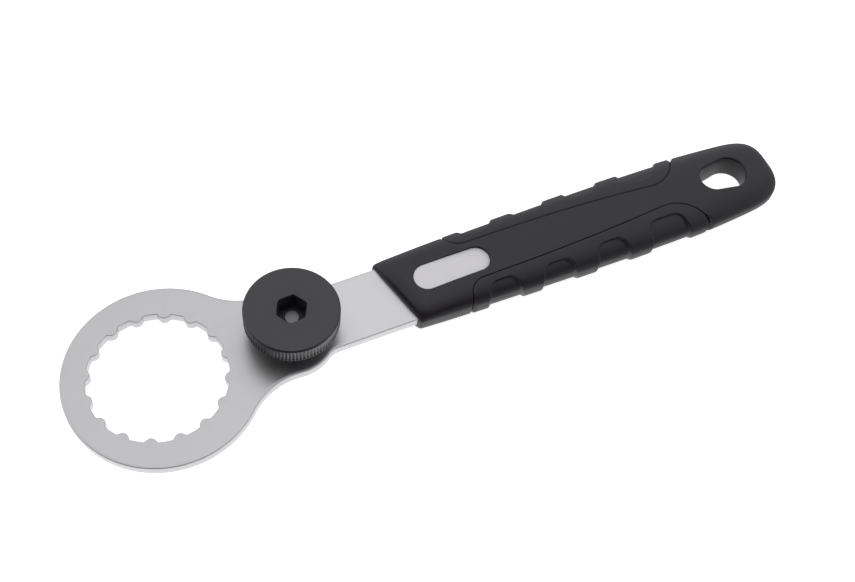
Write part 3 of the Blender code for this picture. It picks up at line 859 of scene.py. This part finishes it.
def makeHoleCutter():
    # straight walls that flare by a quarter round at each face; the lower mouth is shifted by the lean
    rim = hangingHole["rim"]
    rounding = np.linspace(0, math.pi / 2, 7)
    steps = np.column_stack((rim * (1 - np.sin(rounding)), rim * (np.cos(rounding) - 1)))
    # over the faces the cutter is wider than the rim, and runs out of the handle
    wide = rim * 1.4
    loops = []
    for face in (-1, 1):
        lean = (hangingHole["lean"] * (face < 0), 0)
        rows = [atHeight(holeLoop(wide) + lean, face * handle["thickness"])]
        for grow, rise in [(wide, 0.05 * mm), *steps]:
            loop = holeLoop(grow) + lean
            rows.append(atHeight(loop, face * (surfaceHeight(loop[:, 0], loop[:, 1], face) + rise)))
        loops += rows if face < 0 else rows[::-1]
    return stackLoops("holeCutter", [row + drawingZero for row in loops])


label = dict(
    fromMouth=20.55 * mm,
    length=27.2 * mm,
    width=9.4 * mm,
    thickness=0.5 * mm,
    gap=0.1 * mm,
    lip=0.12 * mm,
    sinkFront=0.1 * mm,
    sinkRear=1.1 * mm,
)


def pillPoints(grow, shares):
    # rings of a pill: each goes from its middle line, share 0, out to its outline, share 1
    radius = label["width"] / 2 + grow
    half = (label["length"] - label["width"]) / 2
    middle = handle["mouthX"] + label["fromMouth"]
    right = arcPoints((middle + half, 0), radius, -math.pi / 2, math.pi / 2, math.radians(4))
    left = arcPoints((middle - half, 0), radius, math.pi / 2, 1.5 * math.pi, math.radians(4))
    straight = np.linspace(1, -1, 30)[1:-1, None]
    upper = np.column_stack((middle + half * straight[:, 0], np.full(len(straight), radius)))
    loop = np.vstack((right, upper, left, (upper * (1, -1))[::-1]))
    spine = np.column_stack((np.clip(loop[:, 0], middle - half, middle + half), np.zeros(len(loop))))
    return spine + np.asarray(shares)[:, None, None] * (loop - spine)


def pillSolid(name, grow, upper, lower, shares):
    # the pill's face at its upper heights, over the same pill at its lower heights
    rings = pillPoints(grow, shares)
    top = np.concatenate((rings, upper[..., None]), axis=-1)
    base = np.concatenate((rings[::-1], lower[::-1][..., None]), axis=-1)
    points = np.concatenate((top, base)) + drawingZero
    faces = gridFaces(len(points), points.shape[1], closeColumns=True)
    return makePiece(name, points, faces, mergeDistance=1e-7)


def labelHeight(rings):
    # the handle's face less the sink, which grows from the label's front end to its rear
    paintedLightAlong = (rings[..., 0] - handle["mouthX"] - label["fromMouth"]) / label["length"] + 0.5
    sink = label["sinkFront"] + (label["sinkRear"] - label["sinkFront"]) * np.clip(paintedLightAlong, 0, 1)
    return surfaceHeight(rings[..., 0], rings[..., 1]) - sink


def makeLabelCutter():
    # the label's pocket: its pill and the gap, from under its floor to above the handle
    shares = np.linspace(0, 1, 6)
    rings = pillPoints(label["gap"], shares)
    floor = labelHeight(rings) - label["thickness"] - label["gap"]
    return pillSolid("labelCutter", label["gap"], np.full(floor.shape, handle["thickness"]), floor, shares)


def makeLabelInlay():
    # the pill follows the handle's face and rounds off within its lip
    lip, lipShare = label["lip"], label["lip"] / (label["width"] / 2)
    shares = np.concatenate((np.linspace(0, 1 - 1.2 * lipShare, 12), 1 - lipShare * np.linspace(1, 0, 6)))
    rings = pillPoints(0.0, shares)
    face = labelHeight(rings)
    onLip = np.clip(1 - (1 - shares) / lipShare, 0, 1)
    rounded = face - (lip * (1 - np.sqrt(1 - onLip**2)))[:, None]
    return pillSolid("labelInlay", 0.0, rounded, face - label["thickness"], shares)


def makeSlotCutter():
    # the tang's slot: the whole blank, grown by the slot's gap
    loop = blankOutline(blank["slotGap"])
    half = blank["thickness"] / 2 + blank["slotGap"]
    return stackLoops("slotCutter", [atHeight(loop, z) + drawingZero for z in (-half, half)])


def makeGrip(name, side):
    # rows along x and columns from the upper edge round the side to the lower edge, over an inner wall
    front, frontFillet = gripCorners(0.0)[:2]
    rear = handle["mouthX"] + grip["rearShare"] * handle["length"]
    rearEnd = gripEnd()
    centers, widths = np.array(grip["recesses"])[:, :2].T * handle["length"]
    sides = handle["mouthX"] + np.concatenate((centers - widths / 2, centers + widths / 2))
    rows = np.concatenate(
        (
            front + np.array((0, 0.04, 0.09, 0.16, 0.25, 0.38, 0.55, 0.75, 0.95)) * mm,
            front + frontFillet * (1 - np.cos(np.linspace(0, math.pi / 2, 14))),
            np.linspace(front + frontFillet, rear, 100),
            (sides[:, None] + np.linspace(-1.0, 2.6, 22) * mm).ravel(),
            rear + (rearEnd - rear) * (1 - np.linspace(1, 0, 64) ** 1.3),
        )
    )
    x = spaced(rows, 0.018 * mm)[:, None]
    halfWidth = handleSizes(x)[0]
    edge = np.minimum(gripLine(x), halfWidth * 0.9945)
    room = halfWidth - edge
    lipSteps = np.array((0, 0.04, 0.09, 0.16, 0.25, 0.38, 0.6, 0.95)) * mm
    lipSteps = np.minimum(lipSteps, room * np.linspace(0, 0.45, 8))
    recessLine = np.clip(np.maximum(grip["recessRow"], edge + 0.45 * room), None, halfWidth * 0.999)
    recessSteps = np.linspace(-1.0, 1.0, 14) * np.minimum(mm, room * 0.25)
    lipEnd, recessStart = edge + lipSteps[:, -1:], recessLine + recessSteps[:, :1]
    between = lipEnd + (recessStart - lipEnd) * np.linspace(0, 1, 10)[1:-1]
    upTo = angleOfY(x, np.concatenate((edge + lipSteps, between, recessLine + recessSteps), axis=1))
    toSide = upTo[:, -1:] * np.linspace(1, 0, 20)[1:] ** 1.4
    quarter = np.concatenate((upTo, toSide), axis=1)
    angle = np.concatenate((quarter, -quarter[:, -2::-1]), axis=1)
    plan = handlePoint(x, angle, 0.0)
    flat = np.stack((plan[..., 0], np.abs(plan[..., 1])), axis=-1).reshape(-1, 2)
    into = insideDistance(flat, gripLoop()).reshape(angle.shape)
    lip = lipWidth(plan[..., 1])
    onLip = np.clip(1 - into / lip, 0, 1)
    sink = lip * onLip**1.3 - grip["proud"]
    outward = np.clip((np.abs(plan[..., 1]) - grip["shoulder"]) / grip["shoulderWidth"], 0, 1)
    soft = grip["recessEdge"] + (grip["recessSideEdge"] - grip["recessEdge"]) * outward
    # down the near side, each recess's rear end leans to the rear; the far side's ends lie further back
    down = np.clip(grip["leanFrom"] - plan[..., 2], 0, grip["leanDepth"])
    shear = grip["recessShear"] * down**2 if side < 0 else grip["farShift"] * outward
    drift = 0.0 if side < 0 else grip["farDrift"] * outward
    for center, width, inner in grip["recesses"]:
        into = (plan[..., 0] - handle["mouthX"]) / handle["length"] - center
        moved = shear * np.clip(into / width + 0.5, 0, 1) + drift * (center - grip["driftFrom"])
        leaned = plan[..., 0] - moved
        flat = np.stack((leaned, np.abs(plan[..., 1])), axis=-1).reshape(-1, 2)
        deep = insideDistance(flat, recessLoop(center, width, inner)).reshape(angle.shape)
        t = np.clip(0.5 + deep / soft, 0, 1)
        sink = sink + grip["recessDepth"] * t * t * (3 - 2 * t)
    sink = np.minimum(sink, grip["thickness"] - 0.15 * mm)
    outer = handlePoint(x, angle, sink)
    inner = handlePoint(x, angle, grip["thickness"])[:, ::-1]
    points = np.concatenate((outer, inner), axis=1) * (1, side, 1) + drawingZero
    rowCount, count = points.shape[:2]
    k = np.arange(count // 2 - 1)
    cap = np.stack((k, k + 1, count - 2 - k, count - 1 - k), axis=-1)
    faces = np.vstack((gridFaces(rowCount, count, closeColumns=True), cap, cap + (rowCount - 1) * count))
    return makePiece(name, points, faces)


# Each piece is made and dressed, and the nodes that it stands for are hidden.
steel = makeSteel(ringX)
keyAlloy = makeKeyAlloy(ringX + capKey["x"])
magnetMetal = makeMagnetMetal()
hardPlastic = makePlastic("mouldedPolypropylene", hardLook)
softRubber = makePlastic("thermoplasticRubber", softLook)
palePlastic = makePlastic("paleInlayPlastic", paleLook)
print("materials made")

dress(makePlateSkin(), steel, "steel_blank", "wrench_plate")
dress(makeCapSkin(), keyAlloy, "key_alloy", "cap_tool")
dress(makeMagnetSkin(), magnetMetal, "magnet", "cap_magnet")

body = makeBodyShell()
for makeCutter in (makeHoleCutter, makeSlotCutter, makeLabelCutter):
    cutAway(body, makeCutter())
dress(body, hardPlastic, "hard_plastic", "handle_body")
dress(makeLabelInlay(), palePlastic, "label_inlay", "label_plate")
dress(makeGrip("gripLeft", 1), softRubber, "soft_grip", "grip_left")
dress(makeGrip("gripRight", -1), softRubber, "soft_grip", "grip_right")

# The stage: a floor that runs out to white, a soft sky with one lamp, and the photograph's viewpoint.
studio = dict(
    floorSize=4.0,
    floorColor="#DEDEDF",
    floorRoughness=0.9,
    whiten=0.90,
    mirrored=1.08,
    steepFrom=0.62,
    steepTo=0.88,
    zenith=0.84,
    zenithFrom=0.95,
    horizon=1.15,
    cameraHeading=(-0.542, -0.840, 0.0),
    cameraSide=0.05,
    cameraSideFrom=0.75,
    lamp=0.40,
    lampHeading=(0.28, 0.25, 0.93),
    lampEdge=0.85,
    leftShare=1.3,
    rightShare=0.7,
)


def makeFloor():
    # a pale floor that lifts itself to white for the camera; steep mirrored rays see it lit as well
    half = studio["floorSize"] / 2
    corners = np.array(((-half, -half, 0), (half, -half, 0), (half, half, 0), (-half, half, 0)))
    floor = makePiece("studioFloor", corners, np.array(((0, 1, 2, 3),)))
    made, tree, shader = newMaterial("paleFloorPaint", Roughness=studio["floorRoughness"])[:3]
    shader.inputs["Base Color"].default_value = toLinear(studio["floorColor"])
    shader.inputs["Specular IOR Level"].default_value = 0.0
    shader.inputs["Emission Color"].default_value = (1, 1, 1, 1)
    rays = addNode(tree, "ShaderNodeLightPath")
    direct = addNode(
        tree,
        "ShaderNodeMath",
        {0: rays.outputs["Is Camera Ray"], 1: studio["whiten"]},
        operation="MULTIPLY",
    )
    mirrored = addNode(
        tree,
        "ShaderNodeMath",
        {0: rays.outputs["Is Glossy Ray"], 1: rays.outputs["Is Transmission Ray"]},
        operation="MAXIMUM",
    )
    incoming = addNode(tree, "ShaderNodeNewGeometry").outputs["Incoming"]
    steep = addNode(
        tree,
        "ShaderNodeMapRange",
        {
            "Value": addNode(tree, "ShaderNodeSeparateXYZ", {0: incoming}).outputs["Z"],
            1: studio["steepFrom"],
            2: studio["steepTo"],
            3: 0.0,
            4: studio["mirrored"],
        },
        interpolation_type="SMOOTHSTEP",
    )
    lift = addNode(
        tree,
        "ShaderNodeMath",
        {0: mirrored.outputs[0], 1: steep.outputs[0], 2: direct.outputs[0]},
        operation="MULTIPLY_ADD",
    )
    tree.links.new(lift.outputs[0], shader.inputs["Emission Strength"])
    floor.data.materials.append(made)


def makeWorld():
    # soft light from all round: a broad lamp overhead, nearly dark behind the camera, brighter on the
    # left; to the camera itself the background is plain white
    world = bpy.data.worlds.new("softStudio")
    bpy.context.scene.world = world
    world.use_nodes = True
    tree = world.node_tree
    background = tree.nodes["Background"]
    direction = addNode(tree, "ShaderNodeTexCoord").outputs["Generated"]
    parts = addNode(tree, "ShaderNodeSeparateXYZ", {0: direction})
    # how nearly a direction agrees with a heading is the cosine of the angle between them
    lampCosine, cameraCosine = (
        addNode(
            tree,
            "ShaderNodeVectorMath",
            {0: direction, 1: Vector(heading).normalized()},
            operation="DOT_PRODUCT",
        ).outputs["Value"]
        for heading in (studio["lampHeading"], studio["cameraHeading"])
    )
    # three shares, each eased between two levels: up the sky, into the lamp, and round behind the camera
    height, lamp, shade = (
        addNode(
            tree,
            "ShaderNodeMapRange",
            {"Value": value, 1: low, 2: high, 3: lowShare, 4: highShare},
            interpolation_type="SMOOTHSTEP",
        ).outputs[0]
        for value, low, high, lowShare, highShare in (
            (parts.outputs["Z"], 0.0, studio["zenithFrom"], studio["horizon"], studio["zenith"]),
            (lampCosine, studio["lampEdge"], 1.0, 0.0, studio["lamp"]),
            (cameraCosine, 0.0, studio["cameraSideFrom"], 1.0, studio["cameraSide"]),
        )
    )
    sideways = addNode(
        tree,
        "ShaderNodeMapRange",
        {"Value": parts.outputs["X"], 1: -1.0, 2: 1.0, 3: studio["leftShare"], 4: studio["rightShare"]},
    )
    soft = addNode(tree, "ShaderNodeMath", {0: height, 1: lamp}, operation="ADD")
    level = addNode(tree, "ShaderNodeMath", {0: soft.outputs[0], 1: shade}, operation="MULTIPLY")
    tilted = addNode(
        tree, "ShaderNodeMath", {0: level.outputs[0], 1: sideways.outputs[0]}, operation="MULTIPLY"
    )
    rays = addNode(tree, "ShaderNodeLightPath")
    strength = addNode(
        tree, "ShaderNodeMix", {"Factor": rays.outputs["Is Camera Ray"], "A": tilted.outputs[0], "B": 1.0}
    )
    tree.links.new(strength.outputs[0], background.inputs["Strength"])
    background.inputs["Color"].default_value = (1, 1, 1, 1)


# The photograph's viewpoint, solved from the ring, the key and the handle; place is from the blank's top.
photoView = dict(
    sensorWidth=36,
    focalLength=46.8566,
    clip=(0.01, 20),
    right=(0.90720252, -0.41148328, 0.08755055),
    up=(0.31491917, 0.80222448, 0.50720981),
    forward=(0.27894355, 0.43257068, -0.85736404),
    place=(-0.012, -0.16275, 0.31694),
)


def makeCamera():
    # the camera's axes are right, up and backwards
    lens = bpy.data.cameras.new("photoCamera")
    camera = bpy.data.objects.new("photoCamera", lens)
    bpy.context.scene.collection.objects.link(camera)
    lens.sensor_width = photoView["sensorWidth"]
    lens.lens = photoView["focalLength"]
    lens.clip_start, lens.clip_end = photoView["clip"]
    axes = (Vector(photoView["right"]), Vector(photoView["up"]), -Vector(photoView["forward"]))
    place = Vector(drawingZero) + Vector(photoView["place"]) + Vector((0, 0, blank["thickness"] / 2))
    camera.matrix_world = Matrix.Translation(place) @ Matrix(axes).transposed().to_4x4()
    bpy.context.scene.camera = camera


makeFloor()
makeWorld()
makeCamera()
bpy.context.scene.view_settings.view_transform = "Standard"
print("stage made")
